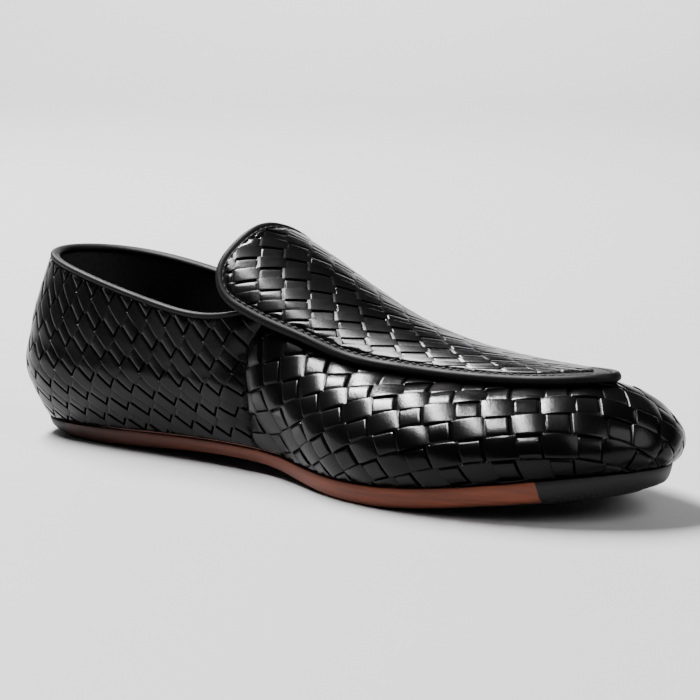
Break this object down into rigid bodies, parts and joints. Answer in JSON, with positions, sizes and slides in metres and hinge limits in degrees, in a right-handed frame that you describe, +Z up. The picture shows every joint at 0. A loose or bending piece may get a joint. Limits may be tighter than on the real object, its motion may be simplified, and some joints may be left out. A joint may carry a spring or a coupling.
{
  "type": "casual shoe",
  "caption": "Slip-on casual shoe for a left foot with a woven upper, a raised woven apron that ends in a tongue, bound edges and a thin leather sole with rubber tips.",
  "frame": {"origin": "on the floor, under the middle of the shoe's length and width", "axes": "+X runs to the toe, -Y is the medial side, +Z is up"},
  "size_m": [0.2834, 0.1006, 0.0819],
  "materials": {
    "sole_leather": "satin",
    "rubber": "matte",
    "lining": "matte",
    "woven_leather": "satin",
    "binding_leather": "satin"
  },
  "bodies": {
    "root": {"outsole": "sole_leather", "toe_tread": "rubber", "heel_tread": "rubber", "insole": "lining", "upper": "woven_leather", "apron": "woven_leather", "collar_binding": "binding_leather", "apron_binding": "binding_leather"}
  },
  "joints": []
}
